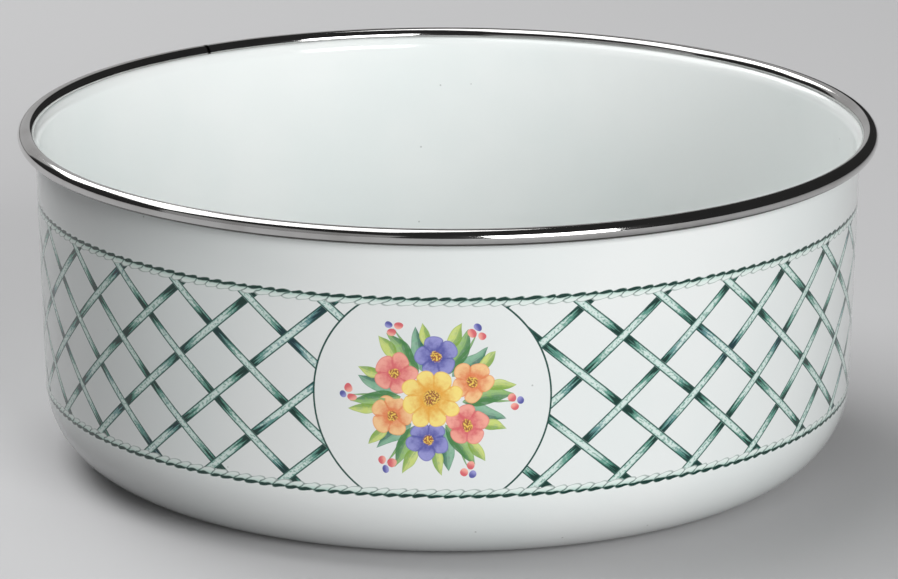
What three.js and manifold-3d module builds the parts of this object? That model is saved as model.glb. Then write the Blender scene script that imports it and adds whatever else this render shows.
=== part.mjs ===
// Round bowl of enamelled pressed steel with a rolled stainless steel rim.
// Millimetres, +Z up. The origin is the centre of the base, on the surface that the bowl stands on.
import * as THREE from "three";
import { mergeVertices } from "three/addons/utils/BufferGeometryUtils.js";
import Module from "manifold-3d";

// Overall sizes
const rimDiameter = 240; // across the outside of the rim
const bowlHeight = 95; // from the standing surface to the top of the rim

// The pressed wall and base, measured on the outside face
const rimOverhang = 4.9; // from the top of the wall out to the edge of the rim
const wallLean = 1.4; // degrees that the wall leans outwards
const footRadius = 22.5; // of the rounded corner between base and wall
const standingRingWidth = 14; // flat ring that the bowl stands on
const recessSlopeWidth = 6; // slope from the standing ring up to the middle of the base
const recessDepth = 1.2; // how far the middle of the base is raised

// Thickness of the steel and its coats
const steelThickness = 0.7;
const outerEnamelThickness = 0.25;
const innerEnamelThickness = 0.25;
const bondGap = 0.02; // between the steel and each coat

// The wall's top edge, turned outwards as a flange that the rim strip grips
const flangeLean = 65; // degrees from upright
const flangeBendRadius = 2.4; // on the outside face
const flangePastMiddle = 0.6; // how far the flange reaches past the middle of the rim

// The rim, a strip of stainless steel rolled into a split tube
const rimTubeDiameter = 4.6;
const rimStripThickness = 0.4;
const rimGripGap = 0.1; // between the strip's edges and the flange
const rimSeamGap = 0.3; // between the strip's two ends
const rimSeamBearing = 128; // degrees anticlockwise from +X, seen from above

// Divisions of the round shapes
const turnSteps = 60;
const footSteps = 6;
const flangeBendSteps = 4;
const rimTubeSteps = 14;

const wasm = await Module();
wasm.setup();

const lean = THREE.MathUtils.degToRad(wallLean);
const flangeAngle = THREE.MathUtils.degToRad(flangeLean);

// Depth of each face below the outside face of the bowl
const steelOuterDepth = outerEnamelThickness + bondGap;
const steelInnerDepth = steelOuterDepth + steelThickness;
const innerEnamelDepth = steelInnerDepth + bondGap;
const insideDepth = innerEnamelDepth + innerEnamelThickness;
const middleDepth = insideDepth / 2;

// Outward direction of a wall that leans by an angle from upright
function outward(angle) {
  return new THREE.Vector2(Math.cos(angle), -Math.sin(angle));
}

// Upward direction along a wall that leans by an angle from upright
function upward(angle) {
  return new THREE.Vector2(Math.sin(angle), Math.cos(angle));
}

// Middle of the rim tube in section, as radius and height
const rimTubeRadius = rimTubeDiameter / 2;
const rimMiddle = new THREE.Vector2(rimDiameter / 2 - rimTubeRadius, bowlHeight - rimTubeRadius);

// Centre of the flange's bend: its height puts the flange's middle line through the middle of the rim
const wallTopRadius = rimDiameter / 2 - rimOverhang;
const bendCentreRadius = wallTopRadius + flangeBendRadius * Math.cos(lean);
const bendDrop =
  ((rimMiddle.x - bendCentreRadius) * Math.cos(flangeAngle) + flangeBendRadius + middleDepth) /
  Math.sin(flangeAngle);
const bendCentre = new THREE.Vector2(bendCentreRadius, rimMiddle.y - bendDrop);
const flangeEnd = rimMiddle.clone().addScaledVector(upward(flangeAngle), flangePastMiddle);

// Centre of the rounded foot: the wall's outside face is tangent to it
const wallOffset = bendCentre.dot(outward(lean)) - flangeBendRadius;
const footCentre = new THREE.Vector2(
  (wallOffset - footRadius + footRadius * Math.sin(lean)) / Math.cos(lean),
  footRadius,
);
const standingRingInner = footCentre.x - standingRingWidth;
const recessRadius = standingRingInner - recessSlopeWidth;

// Points along an arc, from a first to a last angle
function arc(centre, radius, first, last, steps) {
  const points = [];
  for (let step = 0; step <= steps; step += 1) {
    const angle = THREE.MathUtils.lerp(first, last, step / steps);
    points.push(
      new THREE.Vector2(
        centre.x + radius * Math.cos(angle),
        centre.y + radius * Math.sin(angle),
      ),
    );
  }
  return points;
}

// Section of a face that lies a given depth below the outside, from the axis out to the flange's edge
function faceSection(depth) {
  const foot = arc(footCentre, footRadius - depth, -Math.PI / 2, -lean, footSteps);
  const bend = arc(
    bendCentre,
    flangeBendRadius + depth,
    Math.PI - lean,
    Math.PI - flangeAngle,
    flangeBendSteps,
  );
  const edge = flangeEnd.clone().addScaledVector(outward(flangeAngle), middleDepth - depth);
  return [
    new THREE.Vector2(0, recessDepth + depth),
    new THREE.Vector2(recessRadius, recessDepth + depth),
    new THREE.Vector2(standingRingInner, depth),
    ...foot,
    ...bend,
    edge,
  ];
}

// A section turned about the vertical axis of the bowl
function turned(section) {
  return new THREE.LatheGeometry(section, turnSteps).rotateX(Math.PI / 2);
}

// One layer of the bowl, between two depths below the outside face
function layer(outerDepth, innerDepth) {
  return turned([...faceSection(outerDepth), ...faceSection(innerDepth).reverse()]);
}

// A closed geometry as a solid that can be cut
function solidOf(geometry) {
  const bare = geometry.clone();
  bare.deleteAttribute("normal");
  bare.deleteAttribute("uv");
  const merged = mergeVertices(bare);
  return new wasm.Manifold(
    new wasm.Mesh({
      numProp: 3,
      vertProperties: merged.attributes.position.array,
      triVerts: new Uint32Array(merged.index.array),
    }),
  );
}

// A solid's surface as a geometry
function geometryOf(solid) {
  const surface = solid.getMesh();
  const geometry = new THREE.BufferGeometry();
  geometry.setAttribute("position", new THREE.BufferAttribute(surface.vertProperties, 3));
  geometry.setIndex(new THREE.BufferAttribute(surface.triVerts, 1));
  geometry.computeVertexNormals();
  return geometry;
}

// The rim: a split tube whose slit lets the flange in, cut through at the seam of the strip's ends
function rimStrip() {
  const boreRadius = rimTubeRadius - rimStripThickness;
  const slitMiddle = Math.PI * 1.5 - flangeAngle;
  const slitHalfAngle = Math.asin((middleDepth + rimGripGap) / boreRadius);
  const lowerEdge = slitMiddle + slitHalfAngle - Math.PI * 2;
  const innerEdge = slitMiddle - slitHalfAngle;
  const outside = arc(rimMiddle, rimTubeRadius, lowerEdge, innerEdge, rimTubeSteps);
  const bore = arc(rimMiddle, boreRadius, lowerEdge, innerEdge, rimTubeSteps).reverse();
  const ring = turned([...outside, ...bore, outside[0].clone()]);

  const seamCut = new THREE.BoxGeometry(rimTubeDiameter * 2, rimSeamGap, rimTubeDiameter * 2);
  seamCut.translate(rimMiddle.x, 0, rimMiddle.y);
  seamCut.rotateZ(THREE.MathUtils.degToRad(rimSeamBearing));
  return geometryOf(solidOf(ring).subtract(solidOf(seamCut)));
}

function piece(name, geometry, finish) {
  const mesh = new THREE.Mesh(geometry, new THREE.MeshStandardMaterial(finish));
  mesh.name = name;
  return mesh;
}

const whiteEnamel = { color: 0xe6ebe8, roughness: 0.12, metalness: 0 };
const bareSteel = { color: 0x84888b, roughness: 0.5, metalness: 1 };
const polishedSteel = { color: 0xd4d5d6, roughness: 0.08, metalness: 1 };

const bowl = new THREE.Group();
bowl.name = "enamelled_bowl";
bowl.add(
  piece("outer_enamel", layer(0, outerEnamelThickness), whiteEnamel),
  piece("steel_shell", layer(steelOuterDepth, steelInnerDepth), bareSteel),
  piece("inner_enamel", layer(innerEnamelDepth, insideDepth), whiteEnamel),
  piece("rim_strip", rimStrip(), polishedSteel),
);

export default bowl;
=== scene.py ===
import math
import bpy
import numpy as np
from mathutils import Matrix, Vector


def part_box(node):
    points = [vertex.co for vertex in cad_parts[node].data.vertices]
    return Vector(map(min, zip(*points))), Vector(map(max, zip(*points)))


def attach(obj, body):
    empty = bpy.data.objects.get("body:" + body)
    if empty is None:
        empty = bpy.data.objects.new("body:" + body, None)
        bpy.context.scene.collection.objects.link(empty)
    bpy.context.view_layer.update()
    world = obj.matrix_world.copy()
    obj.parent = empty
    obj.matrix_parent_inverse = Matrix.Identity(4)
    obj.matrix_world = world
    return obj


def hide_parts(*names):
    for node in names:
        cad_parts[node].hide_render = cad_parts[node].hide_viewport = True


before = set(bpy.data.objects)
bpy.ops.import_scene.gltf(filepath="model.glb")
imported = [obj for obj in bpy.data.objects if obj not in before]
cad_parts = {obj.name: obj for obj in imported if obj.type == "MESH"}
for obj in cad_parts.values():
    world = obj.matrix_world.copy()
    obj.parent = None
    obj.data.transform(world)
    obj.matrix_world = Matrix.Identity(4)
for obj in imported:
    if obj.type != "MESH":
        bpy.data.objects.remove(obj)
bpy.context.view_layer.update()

mm = 0.001
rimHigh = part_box("rim_strip")[1]

# Section of the bowl in millimetres, worked out from the rim's box as the solids are
bowl = {
    "rimRadius": rimHigh[0] / mm,
    "height": rimHigh[2] / mm,
    "rimOverhang": 4.9,    # from the top of the wall out to the edge of the rim
    "wallLean": math.radians(1.4),
    "footRadius": 22.5,
    "standingRingWidth": 14.0,
    "recessSlopeWidth": 6.0,
    "recessDepth": 1.2,
    "coat": 0.25,
    "bond": 0.02,          # between the steel and each coat
    "steel": 0.7,
    "flangeLean": math.radians(65),
    "flangeBend": 2.4,
    "flangePastMiddle": 0.6,
    "rimTube": 2.3,        # radius of the roll
    "turnSteps": 360,
    "baseSteps": 4,
    "slopeSteps": 8,
    "footSteps": 24,
    "wallSteps": 13,
    "bendSteps": 12,
}
bowl["wall"] = bowl["steel"] + 2 * (bowl["coat"] + bowl["bond"])
bowl["middle"] = bowl["wall"] / 2
rimMiddle = np.array([bowl["rimRadius"] - bowl["rimTube"], bowl["height"] - bowl["rimTube"]])
print("frame loaded, bowl", round(2 * bowl["rimRadius"]), "mm across")


# Direction out of a wall that leans by an angle a from upright: (cos a, -sin a)
def outward(angle):
    return np.array([math.cos(angle), -math.sin(angle)])


# Direction up along a wall that leans by an angle a from upright: (sin a, cos a)
def upward(angle):
    return np.array([math.sin(angle), math.cos(angle)])


# Points on an arc: the centre plus the radius times (cos a, sin a), at even steps of the angle a
def arcPoints(centre, radius, first, last, steps):
    angle = np.linspace(first, last, steps + 1)
    return np.stack([centre[0] + radius * np.cos(angle), centre[1] + radius * np.sin(angle)], 1)


# The flange's bend and the foot's corner, both tangent to the leaning wall
bendRadius = bowl["rimRadius"] - bowl["rimOverhang"] + bowl["flangeBend"] * math.cos(bowl["wallLean"])
bendDrop = (
    (rimMiddle[0] - bendRadius) * math.cos(bowl["flangeLean"]) + bowl["flangeBend"] + bowl["middle"]
) / math.sin(bowl["flangeLean"])
bendCentre = np.array([bendRadius, rimMiddle[1] - bendDrop])
wallOffset = bendCentre @ outward(bowl["wallLean"]) - bowl["flangeBend"]
footCentre = np.array([
    (wallOffset - bowl["footRadius"] * (1 - math.sin(bowl["wallLean"]))) / math.cos(bowl["wallLean"]),
    bowl["footRadius"],
])


# One face of the bowl, a given depth under the outside: the raised middle of the base, a slope that
# eases down as s * s * (3 - 2 s), the foot's arc, the straight wall, the bend and the flange's edge
def faceSection(depth):
    ringInner = footCentre[0] - bowl["standingRingWidth"]
    recess = ringInner - bowl["recessSlopeWidth"]
    base = np.stack([
        recess * np.arange(bowl["baseSteps"]) / bowl["baseSteps"],
        np.full(bowl["baseSteps"], depth + bowl["recessDepth"]),
    ], 1)
    share = np.linspace(0, 1, bowl["slopeSteps"] + 1)
    eased = share * share * (3 - 2 * share)
    slope = np.stack([
        recess + (ringInner - recess) * share,
        depth + bowl["recessDepth"] * (1 - eased),
    ], 1)
    foot = arcPoints(
        footCentre, bowl["footRadius"] - depth,
        -math.pi / 2, -bowl["wallLean"], bowl["footSteps"],
    )
    bend = arcPoints(
        bendCentre, bowl["flangeBend"] + depth,
        math.pi - bowl["wallLean"], math.pi - bowl["flangeLean"], bowl["bendSteps"],
    )
    upWall = np.linspace(0, 1, bowl["wallSteps"] + 1)[1:-1, None]
    wall = foot[-1] * (1 - upWall) + bend[0] * upWall
    edge = rimMiddle + upward(bowl["flangeLean"]) * bowl["flangePastMiddle"]
    edge = edge + outward(bowl["flangeLean"]) * (bowl["middle"] - depth)
    return np.concatenate([base, slope, foot, wall, bend, edge[None]])


# A mesh object in metres from vertices in millimetres. The faces from flatFrom on are flat, and their
# edges are sharp, so that the smooth faces beside them shade evenly up to the edge.
def addMesh(name, points, faces, flatFrom=None):
    mesh = bpy.data.meshes.new(name)
    mesh.from_pydata((points * mm).tolist(), [], faces)
    flatFrom = len(faces) if flatFrom is None else flatFrom
    mesh.polygons.foreach_set("use_smooth", np.arange(len(faces)) < flatFrom)
    edgeOfCorner = np.empty(len(mesh.loops), np.int32)
    mesh.loops.foreach_get("edge_index", edgeOfCorner)
    firstFlatCorner = sum(len(face) for face in faces[:flatFrom])
    sharp = np.zeros(len(mesh.edges), bool)
    sharp[edgeOfCorner[firstFlatCorner:]] = True
    mesh.edges.foreach_set("use_edge_sharp", sharp)
    mesh.update()
    piece = bpy.data.objects.new(name, mesh)
    bpy.context.scene.collection.objects.link(piece)
    return piece


# A section carried round the axis: its point (r, z) at angle t stands at (r cos t, r sin t, z)
def turnedGrid(section, angle):
    return np.stack([
        np.cos(angle)[:, None] * section[:, 0],
        np.sin(angle)[:, None] * section[:, 0],
        np.repeat(section[None, :, 1], len(angle), 0),
    ], -1).reshape(-1, 3)


# A section turned right round, whose first and last points lie on the axis and become single poles
def turnedPiece(name, section, steps):
    ring = section[1:-1]
    rows = len(ring)
    grid = turnedGrid(ring, np.arange(steps) * 2 * math.pi / steps)
    poles = np.array([[0, 0, section[0, 1]], [0, 0, section[-1, 1]]])
    here = np.arange(steps)[:, None] * rows + np.arange(rows - 1)
    there = np.roll(np.arange(steps), -1)[:, None] * rows + np.arange(rows - 1)
    quads = np.stack([here, there, there + 1, here + 1], -1).reshape(-1, 4)
    start = np.arange(steps) * rows
    after = np.roll(start, -1)
    firstPole = np.stack([np.full(steps, steps * rows), after, start], -1)
    lastPole = np.stack([np.full(steps, steps * rows + 1), start + rows - 1, after + rows - 1], -1)
    faces = quads.tolist() + firstPole.tolist() + lastPole.tolist()
    return addMesh(name, np.concatenate([grid, poles]), faces)


# One layer of the bowl: a closed shell between two depths
def bowlLayer(name, outerDepth, innerDepth):
    section = np.concatenate([faceSection(outerDepth), faceSection(innerDepth)[::-1]])
    return turnedPiece(name, section, bowl["turnSteps"])


steelDepth = bowl["coat"] + bowl["bond"]
outsideCoat = bowlLayer("outside_enamel", 0.0, bowl["coat"])
steelBody = bowlLayer("pressed_body", steelDepth, steelDepth + bowl["steel"])
insideCoat = bowlLayer("inside_enamel", bowl["wall"] - bowl["coat"], bowl["wall"])
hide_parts("outer_enamel")
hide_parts("steel_shell")
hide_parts("inner_enamel")
print("steel body and its two coats turned")

# The rolled rim: a split tube of strip steel carried round the flange, with rounded edges
rim = {
    "strip": 0.4,
    "gripGap": 0.1,
    "seamGap": 0.3,
    "seamBearing": math.radians(128),
    "tubeSteps": 44,
    "turnSteps": 720,
    "edgeRound": 0.12,     # of the strip's two long edges
}


# Section of the strip as two matched rows of points, outside and bore, each the roll's middle plus
# a ray times a radius. Near both edges the radii draw together along a quarter circle.
def rimSection():
    bore = bowl["rimTube"] - rim["strip"]
    slit = math.pi * 1.5 - bowl["flangeLean"]
    half = math.asin((bowl["middle"] + rim["gripGap"]) / bore)
    angle = np.linspace(slit + half - math.pi * 2, slit - half, rim["tubeSteps"] + 1)
    toEdge = np.minimum(angle - angle[0], angle[-1] - angle) * bowl["rimTube"]
    thin = np.clip(1 - toEdge / rim["edgeRound"], 0, 1)
    drawIn = rim["edgeRound"] * (1 - np.sqrt(1 - thin * thin))
    ray = np.stack([np.cos(angle), np.sin(angle)], 1)
    outside = rimMiddle + ray * (bowl["rimTube"] - drawIn)[:, None]
    inside = rimMiddle + ray * (bore + drawIn)[:, None]
    return outside, inside


# The section carried round from one end of the strip to the other, with both ends capped
def rimPiece(name):
    outside, inside = rimSection()
    loop = np.concatenate([outside, inside[::-1]])
    rows = len(loop)
    columns = rim["turnSteps"] + 1
    gap = rim["seamGap"] / 2 / rimMiddle[0]
    grid = turnedGrid(loop, rim["seamBearing"] + np.linspace(gap, math.pi * 2 - gap, columns))
    here = np.arange(columns - 1)[:, None] * rows + np.arange(rows)
    nextRow = np.arange(columns - 1)[:, None] * rows + np.roll(np.arange(rows), -1)
    quads = np.stack([here, here + rows, nextRow + rows, nextRow], -1).reshape(-1, 4)
    k = np.arange(len(outside) - 1)
    startCap = np.stack([k, k + 1, rows - 2 - k, rows - 1 - k], -1)
    endCap = startCap[:, ::-1] + (columns - 1) * rows
    faces = np.concatenate([quads, startCap, endCap])
    return addMesh(name, grid, faces.tolist(), len(quads))


rimRoll = rimPiece("rolled_rim")
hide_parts("rim_strip")
print("rim rolled")

# The printed band: a thin fired film on the wall, in sheets laid side by side as transfers are.
# A sheet reads (arc length from the front, height) in millimetres from its UV map named band.
band = {
    "radius": 114.3,       # where arc lengths are measured
    "low": 20.3,
    "high": 76.4,
    "lift": 0.012,
    "film": 0.01,
    "medallionArc": -4.0,  # centre of the front medallion, along the wall from the front
    "medallionHeight": 48.3,
    "medallionRadius": 31.4,
    "medallionSheet": 67.0,
    "sheetsBetween": 5,
    "columnDegrees": 0.25,
    "spareColumns": 3,
    "rows": 54,
    "bakeMargin": 0.02,    # round a sheet in the map that its finish is baked by
}
halfTurn = math.pi * band["radius"]


# Outside radius of the bowl at a height: the foot's arc below, the leaning wall above
def wallRadius(height):
    drop = np.clip(footCentre[1] - height, 0, bowl["footRadius"])
    arc = footCentre[0] + np.sqrt(bowl["footRadius"] ** 2 - drop ** 2)
    wall = (wallOffset + height * math.sin(bowl["wallLean"])) / math.cos(bowl["wallLean"])
    tangent = footCentre[1] - bowl["footRadius"] * math.sin(bowl["wallLean"])
    return np.where(height < tangent, arc, wall)


# A closed film over a stretch of wall: a front and a back grid, joined round the edge. An arc length
# over the band's radius is an angle t, and its point at radius r stands at (r sin t, -r cos t, height).
def bandSheet(name, firstArc, lastArc, middle):
    degrees = math.degrees((lastArc - firstArc) / band["radius"])
    columns = int(degrees / band["columnDegrees"]) + band["spareColumns"]
    arc = np.linspace(firstArc, lastArc, columns)
    height = np.linspace(band["low"], band["high"], band["rows"])
    across, up = np.meshgrid(arc, height, indexing="ij")
    angle = across / band["radius"]
    layers = []
    for lift in (band["lift"], band["lift"] - band["film"]):
        radius = wallRadius(up) + lift
        layers.append(np.stack([radius * np.sin(angle), -radius * np.cos(angle), up], -1).reshape(-1, 3))
    rows = band["rows"]
    count = columns * rows
    cell = (np.arange(columns - 1)[:, None] * rows + np.arange(rows - 1)).ravel()
    front = np.stack([cell, cell + rows, cell + rows + 1, cell + 1], -1)
    back = front[:, ::-1] + count
    bottom = np.arange(columns) * rows
    border = np.concatenate([
        bottom[:-1],
        (columns - 1) * rows + np.arange(rows - 1),
        (bottom + rows - 1)[:0:-1],
        np.arange(rows - 1, 0, -1),
    ])
    following = np.roll(border, -1)
    sides = np.stack([border, border + count, following + count, following], -1)
    faces = np.concatenate([front, back, sides])
    sheet = addMesh(name, np.concatenate(layers), faces.tolist(), len(front) + len(back))
    flat = np.tile(np.stack([across.ravel(), up.ravel()], 1), (2, 1))
    share = (flat - flat.min(0)) / np.ptp(flat, axis=0)
    maps = {
        "band": flat,
        "medallion": flat - [middle, band["medallionHeight"]],
        # The sheet spread over a whole picture, its back in the same place as its front
        "OFBake": share * (1 - 2 * band["bakeMargin"]) + band["bakeMargin"],
    }
    corner = np.empty(len(sheet.data.loops), np.int32)
    sheet.data.loops.foreach_get("vertex_index", corner)
    for mapName, place in maps.items():
        sheet.data.uv_layers.new(name=mapName).data.foreach_set("uv", place[corner].ravel())
    return sheet


medallionSheets = []
trellisSheets = []
for side, place in enumerate(("front", "back")):
    centre = band["medallionArc"] + side * halfTurn
    edge = band["medallionSheet"] / 2
    medallionSheets.append(bandSheet(f"print_{place}_medallion", centre - edge, centre + edge, centre))
    bounds = np.linspace(centre + edge, centre + halfTurn - edge, band["sheetsBetween"] + 1)
    bounds = bounds - side * 2 * halfTurn      # so that arcs run on from one to the next round the front
    for number, (first, last) in enumerate(zip(bounds, bounds[1:]), 1):
        trellisSheets.append(bandSheet(f"print_trellis_{place}_{number}", first, last, centre))
print("printed band laid in", len(medallionSheets) + len(trellisSheets), "sheets")


# Shader maths: a socket that adds Math nodes when it is used in an expression
class Wire:
    def __init__(self, tree, socket):
        self.tree = tree
        self.socket = socket

    # Any node: its type, its settings, its inputs by name or number, and which output is wanted
    def node(self, kind, settings=None, inputs=None, output=0):
        made = self.tree.nodes.new(kind)
        for name, value in (settings or {}).items():
            setattr(made, name, value)
        for name, value in (inputs or {}).items():
            if isinstance(value, Wire):
                self.tree.links.new(value.socket, made.inputs[name])
            else:
                made.inputs[name].default_value = value
        return Wire(self.tree, made.outputs[output])

    # The value led to an input of a shader
    def feed(self, shader, name):
        self.tree.links.new(self.socket, shader.inputs[name])

    def maths(self, operation, *values):
        return self.node("ShaderNodeMath", {"operation": operation}, dict(enumerate(values)))

    def __add__(self, other):
        return self.maths("ADD", self, other)

    def __radd__(self, other):
        return self.maths("ADD", other, self)

    def __sub__(self, other):
        return self.maths("SUBTRACT", self, other)

    def __rsub__(self, other):
        return self.maths("SUBTRACT", other, self)

    def __mul__(self, other):
        return self.maths("MULTIPLY", self, other)

    def __rmul__(self, other):
        return self.maths("MULTIPLY", other, self)

    def __truediv__(self, other):
        return self.maths("DIVIDE", self, other)

    def __rtruediv__(self, other):
        return self.maths("DIVIDE", other, self)

    def __mod__(self, other):
        return self.maths("FLOORED_MODULO", self, other)

    def __pow__(self, other):
        return self.maths("POWER", self, other)

    def __abs__(self):
        return self.maths("ABSOLUTE", self)

    def sine(self):
        return self.maths("SINE", self)

    def cosine(self):
        return self.maths("COSINE", self)

    def floor(self):
        return self.maths("FLOOR", self)

    def least(self, other):
        return self.maths("MINIMUM", self, other)

    def most(self, other):
        return self.maths("MAXIMUM", self, other)

    # 0 at one value and 1 at another, eased between
    def fade(self, low, high):
        settings = {"interpolation_type": "SMOOTHSTEP"}
        return self.node("ShaderNodeMapRange", settings, {0: self, 1: low, 2: high})

    # 1 where the value is under an edge, over a soft width
    def under(self, edge, soft):
        return (self - edge).fade(soft, -soft)

    # A value from 0 to 1 as a swing either side of 0, by half an amount
    def swing(self, amount):
        return (self - 0.5) * amount

    # A colour laid over another, with this value as its cover
    def cover(self, ground, paint):
        return self.node(
            "ShaderNodeMix", {"data_type": "RGBA"}, {0: self, 6: ground, 7: paint}, 2,
        )

    # The three coordinates of a vector
    def split(self):
        parts = self.tree.nodes.new("ShaderNodeSeparateXYZ")
        self.tree.links.new(self.socket, parts.inputs[0])
        return [Wire(self.tree, output) for output in parts.outputs]

    # Flat coordinates about a point, turned so that the first runs along a direction
    def about(self, x, y, turn=0.0):
        inputs = {"Vector": self, "Location": (x, y, 0), "Rotation": (0, 0, turn)}
        return self.node("ShaderNodeMapping", {"vector_type": "TEXTURE"}, inputs).split()[:2]

    # This value and others as the coordinates of a vector
    def joined(self, second, third=0.0):
        return self.node("ShaderNodeCombineXYZ", None, {0: self, 1: second, 2: third})

    # Noise from 0 to 1 at the place that this vector gives
    def noise(self, scale, detail=2.0, rough=0.5):
        inputs = {"Vector": self, "Scale": scale, "Detail": detail, "Roughness": rough}
        return self.node("ShaderNodeTexNoise", None, inputs)


# Distance of a point from the origin: the root of x squared plus y squared
def fromOrigin(x, y):
    return (x * x + y * y) ** 0.5


# Angle of a point about the origin, anticlockwise from the first axis
def bearingOf(x, y):
    return x.maths("ARCTAN2", y, x)


# A colour written as 0 to 255 screen values, made linear by the standard curve
def paint(red, green, blue):
    channel = np.array([red, green, blue]) / 255
    linear = np.where(channel > 0.04045, ((channel + 0.055) / 1.055) ** 2.4, channel / 12.92)
    return (*linear.tolist(), 1.0)


# A new material, its shader, and the place on the piece in metres
def startMaterial(name):
    material = bpy.data.materials.new(name)
    material.use_nodes = True
    tree = material.node_tree
    shader = tree.nodes["Principled BSDF"]
    coordinates = tree.nodes.new("ShaderNodeTexCoord")
    return material, shader, Wire(tree, coordinates.outputs["Object"])


# Scales are marks to a metre, and a fade is where a mark starts and where it is whole
enamel = {
    "white": paint(235, 238, 237),
    "cool": paint(230, 235, 234),
    "driftScale": 18.0,
    "driftFade": (0.35, 0.7),
    "roughness": 0.09,
    "roughnessSpread": 0.05,
    "glossScale": 90.0,
    "ripple": 0.012,       # strength of the glass's slow waviness
    "rippleDepth": 0.002,  # in metres
    "rippleScale": 55.0,
    "speck": paint(140, 142, 140),
    "speckSize": 0.035,    # as a share of the spacing
    "speckSoftness": 0.01,
    "speckSpacing": 0.008,         # in metres, before most are left out
    "speckFade": (0.6, 0.7),       # which of the specks are kept
    "speckCover": 0.5,
    "ior": 1.5,
}


# Glossy white enamel: a faint cool cast that drifts, a few grey specks, uneven gloss and a slow ripple
def enamelGround(shader, place):
    drift = place.noise(enamel["driftScale"], detail=3.0).fade(*enamel["driftFade"])
    colour = drift.cover(enamel["white"], enamel["cool"])
    cells = {"Vector": place, "Scale": 1 / enamel["speckSpacing"]}
    fromSpeck = place.node("ShaderNodeTexVoronoi", None, cells, "Distance")
    speckChoice = place.node("ShaderNodeTexVoronoi", None, cells, "Color").split()[0]
    specks = fromSpeck.under(enamel["speckSize"], enamel["speckSoftness"])
    specks = specks * speckChoice.fade(*enamel["speckFade"])
    colour = (specks * enamel["speckCover"]).cover(colour, enamel["speck"])
    haze = place.noise(enamel["glossScale"], detail=3.0)
    gloss = haze * enamel["roughnessSpread"] + enamel["roughness"]
    gloss.feed(shader, "Roughness")
    bump = place.node("ShaderNodeBump", None, {
        "Strength": enamel["ripple"],
        "Distance": enamel["rippleDepth"],
        "Height": place.noise(enamel["rippleScale"]),
    })
    bump.feed(shader, "Normal")
    shader.inputs["IOR"].default_value = enamel["ior"]
    return colour


# The bare enamel of both coats
def enamelMaterial(name):
    material, shader, place = startMaterial(name)
    enamelGround(shader, place).feed(shader, "Base Color")
    return material


# Lengths of the print are in millimetres on the flat sheet
trellis = {
    "repeats": 32,         # crossings round the bowl
    "firstArc": 36.0,      # one crossing of the top row, along the wall from the front
    "topRow": 72.4,
    "rowDrop": 9.5,
    "cane": 2.35,
    "caneSoftness": 0.07,
    "line": 0.36,          # along each edge of a cane
    "lineSoftness": 0.08,
    "lineCover": 0.95,
    "mintFrom": 0.2,       # from the middle of a cane
    "deepFrom": 2.5,       # along a cane, from the middle of where it goes under another
    "deepTo": 4.9,
    "washFrom": 4.2,
    "washTo": 8.8,
    "washCover": 0.8,
    "strokes": 15.0,       # how unevenly the strokes end
    "strokesAcross": 1.7,  # strokes to a millimetre, across a cane and along it
    "strokesAlong": 0.11,
    "strokeShift": 5.3,    # from one cane to the next, so that no two are alike
    "stipple": 1.7,        # marks to a millimetre
    "stippleAlong": 0.75,  # marks along a cane for each one across
    "stippleShift": 3.1,
    "stippleFade": (0.5, 0.64),
    "stippleWash": 0.14,   # more marks in the wash
    "stippleCover": 0.62,
    "risingShift": 0.37,   # of one set's strokes from the other's
    "inkDrift": 45.0,      # how often the ink turns from green to blue, to a metre
    "blueFade": (0.52, 0.68),
    "wander": 0.3,         # how far the drawn lines stray
    "wanderScale": 40.0,   # strays to a metre
    "pale": paint(218, 233, 228),
    "mint": paint(164, 208, 195),
    "mid": paint(62, 140, 120),
    "deep": paint(4, 52, 44),
    "midBlue": paint(66, 132, 136),
    "deepBlue": paint(8, 50, 60),
    "outline": paint(28, 74, 66),
}
trellis["pitch"] = 2 * halfTurn / trellis["repeats"]
trellis["span"] = math.hypot(trellis["pitch"] / 2, trellis["rowDrop"])
trellis["spacing"] = trellis["pitch"] * trellis["rowDrop"] / trellis["span"]


# Colour of a cane, from how far a point lies across it, along it and from where it goes under:
# pale, with deep strokes that reach out from under the crossing, and a line along each edge
def caneColour(across, along, fromUnder, number, mid, deepInk):
    strokes = (across * trellis["strokesAcross"]).joined(
        along * trellis["strokesAlong"], number * trellis["strokeShift"],
    ).noise(1.0)
    reach = fromUnder + strokes.swing(trellis["strokes"])
    deep = reach.fade(trellis["deepTo"], trellis["deepFrom"])
    wash = reach.fade(trellis["washTo"], trellis["washFrom"])
    half = trellis["cane"] / 2
    edgeward = abs(across).fade(trellis["mintFrom"], half)
    body = edgeward.cover(trellis["pale"], trellis["mint"])
    body = (wash * trellis["washCover"]).cover(body, mid)
    marks = across.joined(along * trellis["stippleAlong"], number * trellis["stippleShift"])
    stipple = marks.noise(trellis["stipple"]) + wash * trellis["stippleWash"]
    body = (stipple.fade(*trellis["stippleFade"]) * trellis["stippleCover"]).cover(body, mid)
    body = deep.cover(body, deepInk)
    edge = half - trellis["line"]
    line = abs(across).fade(edge - trellis["lineSoftness"], edge + trellis["lineSoftness"])
    return (line * trellis["lineCover"]).cover(body, trellis["outline"])


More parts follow.
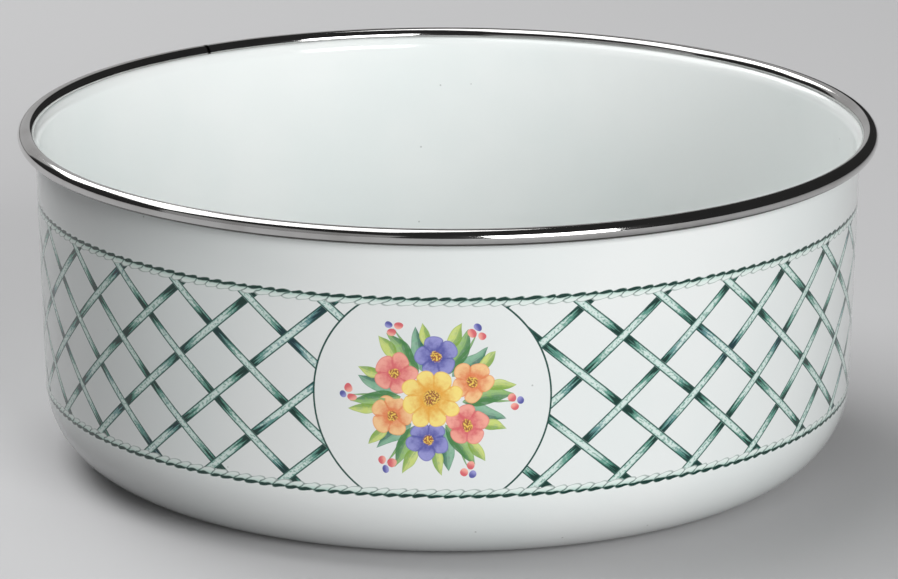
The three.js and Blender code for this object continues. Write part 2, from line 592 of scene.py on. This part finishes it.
# Two sets of slanting canes in plain weave. Going down one row shifts a crossing half a pitch,
# so one set lies where steps minus rows is whole and the other where their sum is whole.
def trellisPrint(colour, place, arc, height, inside):
    blue = place.noise(trellis["inkDrift"], detail=1.0).fade(*trellis["blueFade"])
    inks = (
        blue.cover(trellis["mid"], trellis["midBlue"]),
        blue.cover(trellis["deep"], trellis["deepBlue"]),
    )
    steps = (arc - trellis["firstArc"]) / trellis["pitch"]
    rows = (trellis["topRow"] - height) / (2 * trellis["rowDrop"])
    falling = steps - rows
    rising = steps + rows
    fallingNumber = (falling + 0.5).floor()
    risingNumber = (rising + 0.5).floor()
    offFalling = falling - fallingNumber
    offRising = rising - risingNumber
    odd = (risingNumber - fallingNumber) % 2.0
    acrossFalling = offFalling * trellis["spacing"]
    acrossRising = offRising * trellis["spacing"]
    span = trellis["span"]
    underFalling = (1 - abs(offRising) + odd * (abs(offRising) * 2 - 1)) * span
    underRising = (abs(offFalling) + odd * (1 - abs(offFalling) * 2)) * span
    half = trellis["cane"] / 2
    onFalling = abs(acrossFalling).under(half, trellis["caneSoftness"])
    onRising = abs(acrossRising).under(half, trellis["caneSoftness"])
    fallingCane = caneColour(acrossFalling, rising * span, underFalling, fallingNumber, *inks)
    colour = (onFalling * inside).cover(colour, fallingCane)
    shifted = risingNumber + trellis["risingShift"]
    risingCane = caneColour(acrossRising, falling * span, underRising, shifted, *inks)
    seen = onRising * (1 - onFalling * (1 - odd))
    return (seen * inside).cover(colour, risingCane)


# Fades run across a cord in shares of half its width, from the inner side to the outer
twist = {
    "upper": 74.6,         # heights of the two cords
    "lower": 22.2,
    "half": 1.32,
    "strands": 184,        # round the bowl
    "slant": 0.5,
    "softness": 0.12,
    "bulge": 0.44,         # how far the strands stand out, as a share of half the cord
    "tintFade": (-0.5, 0.7),
    "seamFade": (0.13, 0.03),      # from the line between two strands, as a share of a strand
    "seamInkFade": (-0.9, 0.5),
    "seamInk": 0.4,        # least cover of that line
    "seamInkSpread": 0.5,
    "innerFade": (-0.26, -0.06),   # of the line along the inner edge
    "innerCover": 0.55,
    "shade": 0.26,         # least depth of the dark outer edge, as a share of half the cord
    "shadeSwell": 0.7,
    "shadeSoftness": 0.26,
    "unevenness": 0.65,
    "unevenScale": 350.0,  # changes to a metre
    "pale": paint(228, 238, 234),
    "mint": paint(172, 213, 198),
}


# A twisted cord drawn along the band: slanting strands that bulge at both edges, each with a
# dark crescent on the outer side, which is up for the upper cord and down for the lower one
def cordPrint(colour, hand, arc, height, middle, outerSide):
    across = (height - middle) / twist["half"]
    turn = arc * (twist["strands"] / (2 * halfTurn)) - across * twist["slant"] + hand
    place = turn % 1.0
    bulge = (place * math.pi).sine()
    edge = bulge * twist["bulge"] + (1 - twist["bulge"])
    onCord = abs(across).under(edge, twist["softness"])
    outer = across * outerSide
    body = outer.fade(*twist["tintFade"]).cover(twist["pale"], twist["mint"])
    colour = onCord.cover(colour, body)
    seam = place.least(1 - place).fade(*twist["seamFade"])
    seamInk = outer.fade(*twist["seamInkFade"]) * twist["seamInkSpread"] + twist["seamInk"]
    colour = (seam * onCord * seamInk).cover(colour, trellis["outline"])
    inner = (outer * -1 - edge).fade(*twist["innerFade"]) * onCord
    colour = (inner * twist["innerCover"]).cover(colour, trellis["outline"])
    shade = bulge * twist["shadeSwell"] + twist["shade"] + hand
    crescent = (outer - edge + shade).fade(0.0, twist["shadeSoftness"]) * onCord
    return crescent.cover(colour, trellis["deep"])


# A painted posy: blossoms in a ring round a large one, with leaves and berries in the gaps.
# Lengths are in millimetres, places are measured from the middle of the medallion, turns in degrees.
posy = {
    "yellow": (paint(254, 230, 132), paint(236, 166, 50)),
    "peach": (paint(252, 204, 148), paint(230, 124, 70)),
    "coral": (paint(250, 172, 156), paint(220, 92, 100)),
    "violet": (paint(152, 152, 214), paint(74, 76, 160)),
    "lime": (paint(206, 220, 124), paint(134, 172, 74)),
    "leaf": (paint(150, 192, 112), paint(74, 132, 76)),
    "sea": (paint(132, 182, 150), paint(54, 114, 92)),
    "heart": paint(160, 92, 40),
    "gold": paint(244, 204, 84),
    "ringCount": 6,
    "ringRadius": 11.6,
    "ringTurn": 24,        # of the first blossom of the ring
    "blossom": 5.8,
    "petals": 5,
    "petalTurn": 0.8,      # from one blossom to the next, in radians
    "middleBlossom": 8.2,
    "middlePetals": 8,
    "middleTurn": 0.4,
    "stray": 2.6,          # how far the brush strays from the plan
    "strayScale": 0.11,    # strays to a millimetre
    "strayApart": (40.0, 25.0),    # so that strays across and up aren't alike
    "washScale": 0.55,     # patches to a millimetre
    "washRough": 0.6,
    # Leaves in each gap: place, length, width, turn from the gap's own direction, and colour
    "gapLeaves": (
        (9.0, 0.4, 13.6, 1.0, 4, "leaf"),
        (8.0, -0.6, 12.5, 4.4, -15, "sea"),
        (8.0, 0.4, 13.6, 4.6, 13, "leaf"),
    ),
    # Berries in each gap: place, radius and colour
    "gapBerries": ((21.6, -0.3, 1.2, "coral"), (20.6, 2.2, 1.2, "coral"), (23.0, 1.8, 1.1, "violet")),
    # Small leaves that look out from behind each blossom
    "blossomLeaves": ((13.8, -2.6, 8.4, 3.4, -22, "lime"), (13.8, 2.4, 7.4, 3.2, 20, "lime")),
}


# Flat coordinates turned into the nearest of some equal sectors, with the number of that sector:
# the distance out stays, and the angle is measured from the middle of the sector
def inSector(spot, count, turn):
    x, y = spot.split()[:2]
    share = (bearingOf(x, y) - math.radians(turn)) * (count / (2 * math.pi))
    number = (share + 0.5).floor()
    angle = (share - number) * (2 * math.pi / count)
    out = fromOrigin(x, y)
    return (out * angle.cosine()).joined(out * angle.sine()), number


# Brushwork of a leaf, in millimetres from its rib or its edge
leafBrush = {
    "fullness": 0.8,       # under 1, a leaf is widest nearer its stalk
    "halfFade": (0.7, -0.7),
    "halfWash": 3.0,       # how unevenly the two halves meet
    "rib": 0.12,
    "ribSoftness": 0.08,
    "ribCover": 0.6,
    "rimFade": (0.42, 0.1),        # darker inside the edge
    "rimCover": 0.5,
    "edgeFade": (0.02, 0.16),
    "leastCover": 0.68,
    "coverSpread": 0.5,
}


# A leaf widens and narrows as a sine along its length, with a pale rib and a darker far half
def leafPaint(colour, spot, wash, x, y, length, width, turn, tint):
    light, dark = posy[tint]
    along, across = spot.about(x, y, math.radians(turn))
    share = (along / length).most(0.0).least(1.0)
    inset = (share ** leafBrush["fullness"] * math.pi).sine() * (width / 2) - abs(across)
    farHalf = (across + wash.swing(leafBrush["halfWash"])).fade(*leafBrush["halfFade"])
    body = farHalf.cover(light, dark)
    rib = abs(across).under(leafBrush["rib"], leafBrush["ribSoftness"])
    body = (rib * leafBrush["ribCover"]).cover(body, light)
    body = (inset.fade(*leafBrush["rimFade"]) * leafBrush["rimCover"]).cover(body, dark)
    strength = wash * leafBrush["coverSpread"] + leafBrush["leastCover"]
    return (inset.fade(*leafBrush["edgeFade"]) * strength).cover(colour, body)


# Brushwork of a berry: the light in shares of its radius, the edge in millimetres
berryBrush = {
    "lightFade": (-0.6, 1.1),
    "edgeFade": (0.0, 0.14),
    "cover": 0.95,
}


# A berry is a disc, lighter on the side towards the middle of the posy
def berryPaint(colour, spot, wash, x, y, radius, tint):
    light, dark = posy[tint]
    across, up = spot.about(x, y)
    inset = radius - fromOrigin(across, up)
    darkest, lightest = berryBrush["lightFade"]
    lit = (up - across + wash.swing(radius)).fade(darkest * radius, lightest * radius)
    body = lit.cover(dark, light)
    return (inset.fade(*berryBrush["edgeFade"]) * berryBrush["cover"]).cover(colour, body)


# Brushwork of a blossom, in shares of its radius, but for the two fades at its edge, in millimetres
blossomBrush = {
    "roundness": 0.6,      # under 1, the petals are fuller
    "notch": 0.26,         # between two petals
    "glowFade": (0.15, 0.9),
    "glowWash": 0.9,
    "creaseFade": (0.36, 0.05),
    "creaseWash": 0.4,
    "creaseFrom": (0.15, 0.5),
    "creaseCover": 0.7,
    "rimFade": (0.5, 0.12),        # darker inside the edge
    "rimCover": 0.5,
    "heart": 0.24,
    "heartSoftness": 0.05,
    "stamenScale": 1.9,
    "stamenFade": (0.46, 0.6),
    "stamenReach": 0.27,
    "stamenSoftness": 0.04,
    "edgeFade": (0.0, 0.16),
    "cover": 0.97,
}


# A blossom's edge swells with each petal, and the petals darken to their creases and the heart
def blossomPaint(colour, spot, wash, x, radius, petals, spin, light, dark):
    brush = blossomBrush
    across, up = spot.about(x, 0.0)
    out = fromOrigin(across, up) / radius
    petal = abs((bearingOf(across, up) * (petals / 2) + spin).sine())
    inset = (petal ** brush["roundness"] * brush["notch"] + (1 - brush["notch"]) - out) * radius
    glow = (out + wash.swing(brush["glowWash"])).fade(*brush["glowFade"])
    body = glow.cover(dark, light)
    crease = (petal + wash.swing(brush["creaseWash"])).fade(*brush["creaseFade"])
    crease = crease * out.fade(*brush["creaseFrom"])
    body = (crease * brush["creaseCover"]).cover(body, dark)
    body = (inset.fade(*brush["rimFade"]) * brush["rimCover"]).cover(body, dark)
    body = out.under(brush["heart"], brush["heartSoftness"]).cover(body, posy["heart"])
    stamens = spot.noise(brush["stamenScale"], detail=1.0).fade(*brush["stamenFade"])
    stamens = stamens * out.under(brush["stamenReach"], brush["stamenSoftness"])
    body = stamens.cover(body, posy["gold"])
    return (inset.fade(*brush["edgeFade"]) * brush["cover"]).cover(colour, body)


# The whole posy, from the back forwards. One gap and one blossom are painted, and folding the field
# into sectors repeats them round the ring.
def posyPrint(colour, flat):
    wash = flat.noise(posy["washScale"], detail=3.0, rough=posy["washRough"])
    x, y = flat.split()[:2]
    elsewhere = (x + posy["strayApart"][0]).joined(y - posy["strayApart"][1])
    strayX = flat.noise(posy["strayScale"], detail=1.0).swing(posy["stray"])
    strayY = elsewhere.noise(posy["strayScale"], detail=1.0).swing(posy["stray"])
    spot = (x + strayX).joined(y + strayY)
    halfGap = 180 / posy["ringCount"]
    gap = inSector(spot, posy["ringCount"], posy["ringTurn"] + halfGap)[0]
    for leaf in posy["gapLeaves"]:
        colour = leafPaint(colour, gap, wash, *leaf)
    for berry in posy["gapBerries"]:
        colour = berryPaint(colour, gap, wash, *berry)
    ring, number = inSector(spot, posy["ringCount"], posy["ringTurn"])
    for leaf in posy["blossomLeaves"]:
        colour = leafPaint(colour, ring, wash, *leaf)
    third = number % 3.0       # 0 is peach, 1 violet and 2 coral
    first = third.under(0.5, 0.1)
    last = 1 - third.under(1.5, 0.1)
    light, dark = (
        last.cover(first.cover(violet, peach), coral)
        for violet, peach, coral in zip(posy["violet"], posy["peach"], posy["coral"])
    )
    colour = blossomPaint(
        colour, ring, wash, posy["ringRadius"], posy["blossom"],
        posy["petals"], number * posy["petalTurn"], light, dark,
    )
    return blossomPaint(
        colour, spot, wash, 0.0, posy["middleBlossom"],
        posy["middlePetals"], posy["middleTurn"], *posy["yellow"],
    )


# Edges of the print's fields, in millimetres
fields = {
    "bandSoftness": 0.05,
    "medallionSoftness": 0.06,
    "ring": 0.25,          # half the width of the line round a medallion
    "ringSoftness": 0.09,
}


# The fired print on its white ground. A medallion sheet has a round field with a posy in it,
# in the trellis's place.
def printMaterial(name, withMedallion):
    material, shader, place = startMaterial(name)
    colour = enamelGround(shader, place)
    flat = place.node("ShaderNodeUVMap", {"uv_map": "band"})
    stray = place.noise(trellis["wanderScale"], detail=1.0).swing(trellis["wander"])
    flatArc, flatHeight = flat.split()[:2]
    arc = flatArc + stray
    height = flatHeight + stray
    belowUpper = flatHeight.under(twist["upper"], fields["bandSoftness"])
    inside = belowUpper * (1 - flatHeight.under(twist["lower"], fields["bandSoftness"]))
    if withMedallion:
        spot = place.node("ShaderNodeUVMap", {"uv_map": "medallion"})
        fromCentre = fromOrigin(*spot.split()[:2])
        outsideRing = 1 - fromCentre.under(band["medallionRadius"], fields["medallionSoftness"])
        colour = trellisPrint(colour, place, arc, height, inside * outsideRing)
        ring = abs(fromCentre - band["medallionRadius"]).under(fields["ring"], fields["ringSoftness"])
        colour = (ring * inside).cover(colour, trellis["outline"])
        colour = posyPrint(colour, spot)
    else:
        colour = trellisPrint(colour, place, arc, height, inside)
    hand = place.noise(twist["unevenScale"], detail=1.0).swing(twist["unevenness"])
    colour = cordPrint(colour, hand, arc, height, twist["upper"], 1)
    colour = cordPrint(colour, hand, arc, height, twist["lower"], -1)
    colour.feed(shader, "Base Color")
    return material


rimSteel = {
    "bright": paint(198, 197, 196),
    "dull": paint(180, 178, 176),
    "stain": paint(52, 50, 48),
    "stainReach": 0.9,     # either side of the seam, in millimetres
    "stainCore": 0.2,
    # Painted shade: a dark colour and its fade along the lower side of the roll, standing in for shade
    # and a dark reflection there
    "paintedShadeUnderside": paint(66, 64, 61),
    "paintedShadeFrom": 0.5,  # below the middle of the roll, as a share of its radius
    "paintedShadeTo": 0.64,
    "roughness": 0.04,
    "drawLines": 0.05,     # roughness that the drawing lines add
    "grainScale": 9000.0,  # lines to a metre, across the strip
    "grainTurn": 2.0,      # changes along a line, to a radian
    "smearScale": 60.0,
    "smearFade": (0.4, 0.75),
    "smearGloss": 0.05,    # roughness that the smears add
}


# Polished strip steel: fine drawing lines run round the rim, so the grain stretches along it.
# Below the middle of the roll the steel is painted dark: painted shade and a painted dark reflection
# along its lower side.
def polishedSteel(name):
    material, shader, place = startMaterial(name)
    x, y, z = place.split()
    radius = fromOrigin(x, y)
    bearing = bearingOf(x, y)
    grain = (radius * rimSteel["grainScale"]).joined(
        z * rimSteel["grainScale"], bearing * rimSteel["grainTurn"],
    ).noise(1.0, detail=3.0)
    smears = place.noise(rimSteel["smearScale"], detail=4.0)
    colour = smears.fade(*rimSteel["smearFade"]).cover(rimSteel["bright"], rimSteel["dull"])
    fromSeam = abs(bearing - rim["seamBearing"]) * rimMiddle[0]
    stain = fromSeam.fade(rimSteel["stainReach"], rimSteel["stainCore"])
    colour = stain.cover(colour, rimSteel["stain"])
    # Painted shade and painted dark reflection: the steel turns dark towards the bottom of the roll
    drop = (rimMiddle[1] - z / mm) / bowl["rimTube"]
    under = drop.fade(rimSteel["paintedShadeFrom"], rimSteel["paintedShadeTo"])
    colour = under.cover(colour, rimSteel["paintedShadeUnderside"])
    colour.feed(shader, "Base Color")
    lines = grain * rimSteel["drawLines"]
    gloss = lines + smears * rimSteel["smearGloss"] + rimSteel["roughness"]
    gloss.feed(shader, "Roughness")
    shader.inputs["Metallic"].default_value = 1.0
    return material


bodySteel = {
    "dark": paint(120, 122, 124),
    "light": paint(146, 147, 148),
    "grainScale": 400.0,
    "roughness": 0.35,
    "roughnessSpread": 0.2,
}


# Pressed steel under the enamel: dull, with a faint grain
def pressedSteel(name):
    material, shader, place = startMaterial(name)
    grain = place.noise(bodySteel["grainScale"], detail=4.0)
    grain.cover(bodySteel["dark"], bodySteel["light"]).feed(shader, "Base Color")
    gloss = grain * bodySteel["roughnessSpread"] + bodySteel["roughness"]
    gloss.feed(shader, "Roughness")
    shader.inputs["Metallic"].default_value = 1.0
    return material


whiteEnamel = enamelMaterial("white_enamel")
outsideCoat.data.materials.append(whiteEnamel)
insideCoat.data.materials.append(whiteEnamel)
trellisInk = printMaterial("trellis_print", False)
for sheet in trellisSheets:
    sheet.data.materials.append(trellisInk)
medallionInk = printMaterial("medallion_print", True)
for sheet in medallionSheets:
    sheet.data.materials.append(medallionInk)
rimRoll.data.materials.append(polishedSteel("polished_strip_steel"))
steelBody.data.materials.append(pressedSteel("pressed_steel"))
print("finishes made")

for piece in (outsideCoat, insideCoat, *trellisSheets, *medallionSheets):
    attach(piece, "root")
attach(steelBody, "root")
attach(rimRoll, "root")

# Camera at the photograph's angle, from the fitted view of the bowl. Lengths are in millimetres.
view = {
    "imageWidth": 898,
    "focalPixels": 4919.6,
    "sensorWidth": 36.0,
    "distance": 1388.4,
    "elevation": math.radians(15.726),
    "roll": math.radians(0.168),
    "target": (0.42, 0.0, 45.75),
    "nearest": 50.0,
    "farthest": 50000.0,
}
lens = bpy.data.cameras.new("camera")
lens.sensor_fit = "HORIZONTAL"
lens.sensor_width = view["sensorWidth"]
lens.lens = view["sensorWidth"] * view["focalPixels"] / view["imageWidth"]
lens.clip_start = view["nearest"] * mm
lens.clip_end = view["farthest"] * mm
camera = bpy.data.objects.new("camera", lens)
back = Vector((0, -math.cos(view["elevation"]), math.sin(view["elevation"])))
level = Vector((1, 0, 0))
rise = back.cross(level)
right = level * math.cos(view["roll"]) + rise * math.sin(view["roll"])
up = rise * math.cos(view["roll"]) - level * math.sin(view["roll"])
camera.matrix_world = Matrix((
    (right.x, up.x, back.x, 0),
    (right.y, up.y, back.y, 0),
    (right.z, up.z, back.z, 0),
    (0, 0, 0, 1),
))
camera.location = (Vector(view["target"]) + back * view["distance"]) * mm
bpy.context.scene.collection.objects.link(camera)
bpy.context.scene.camera = camera

# Plain pale floor and soft studio light, in metres
studio = {
    "floorSize": 8.0,
    "floor": paint(200, 200, 201),
    "bounce": paint(104, 104, 105),   # of the floor in the light that it throws back on the bowl
    "floorRoughness": 0.9,
    "floorGloss": 0.1,
    "room": 0.03,          # the room's own light
    "aim": (0, 0, 0.04),   # where every softbox points
    "softboxes": {
        "key_softbox": {"place": (1.0, -1.95, 0.7), "size": (1.3, 1.2), "watts": 49.5},
        "rear_softbox": {"place": (-1.1, 1.4, 1.4), "size": (1.1, 0.8), "watts": 11.5},
        "top_softbox": {"place": (-0.75, 0.35, 1.75), "size": (1.8, 1.8), "watts": 27},
        "front_card": {"place": (-1.0, -1.0, 0.42), "size": (1.8, 0.8), "watts": 1.5},
        "back_card": {"place": (-0.65, 2.05, 0.85), "size": (1.9, 1.6), "watts": 4.4},
    },
}
half = studio["floorSize"] / 2
floorMesh = bpy.data.meshes.new("floor")
corners = [(-half, -half, 0), (half, -half, 0), (half, half, 0), (-half, half, 0)]
floorMesh.from_pydata(corners, [], [(0, 1, 2, 3)])
floor = bpy.data.objects.new("floor", floorMesh)
bpy.context.scene.collection.objects.link(floor)
floorMaterial, floorShader, floorPlace = startMaterial("pale_floor")
rays = floorPlace.tree.nodes.new("ShaderNodeLightPath").outputs
seen = Wire(floorPlace.tree, rays["Is Camera Ray"])
for kind in ("Is Glossy Ray", "Is Transmission Ray"):
    seen = seen.most(Wire(floorPlace.tree, rays[kind]))
seen.cover(studio["bounce"], studio["floor"]).feed(floorShader, "Base Color")
floorShader.inputs["Roughness"].default_value = studio["floorRoughness"]
floorShader.inputs["Specular IOR Level"].default_value = studio["floorGloss"]
floorMesh.materials.append(floorMaterial)


# A rectangular soft lamp that faces the bowl
def softbox(name, place, size, watts):
    lamp = bpy.data.lights.new(name, "AREA")
    lamp.shape = "RECTANGLE"
    lamp.size, lamp.size_y = size
    lamp.energy = watts
    holder = bpy.data.objects.new(name, lamp)
    holder.location = place
    aim = Vector(studio["aim"]) - Vector(place)
    holder.rotation_euler = aim.to_track_quat("-Z", "Y").to_euler()
    bpy.context.scene.collection.objects.link(holder)


for name, setting in studio["softboxes"].items():
    softbox(name, **setting)
world = bpy.data.worlds.new("studio")
world.use_nodes = True
sky = world.node_tree.nodes["Background"]
sky.inputs["Color"].default_value = (1, 1, 1, 1)
sky.inputs["Strength"].default_value = studio["room"]
bpy.context.scene.world = world
bpy.context.scene.view_settings.view_transform = "Standard"
print("studio lit")
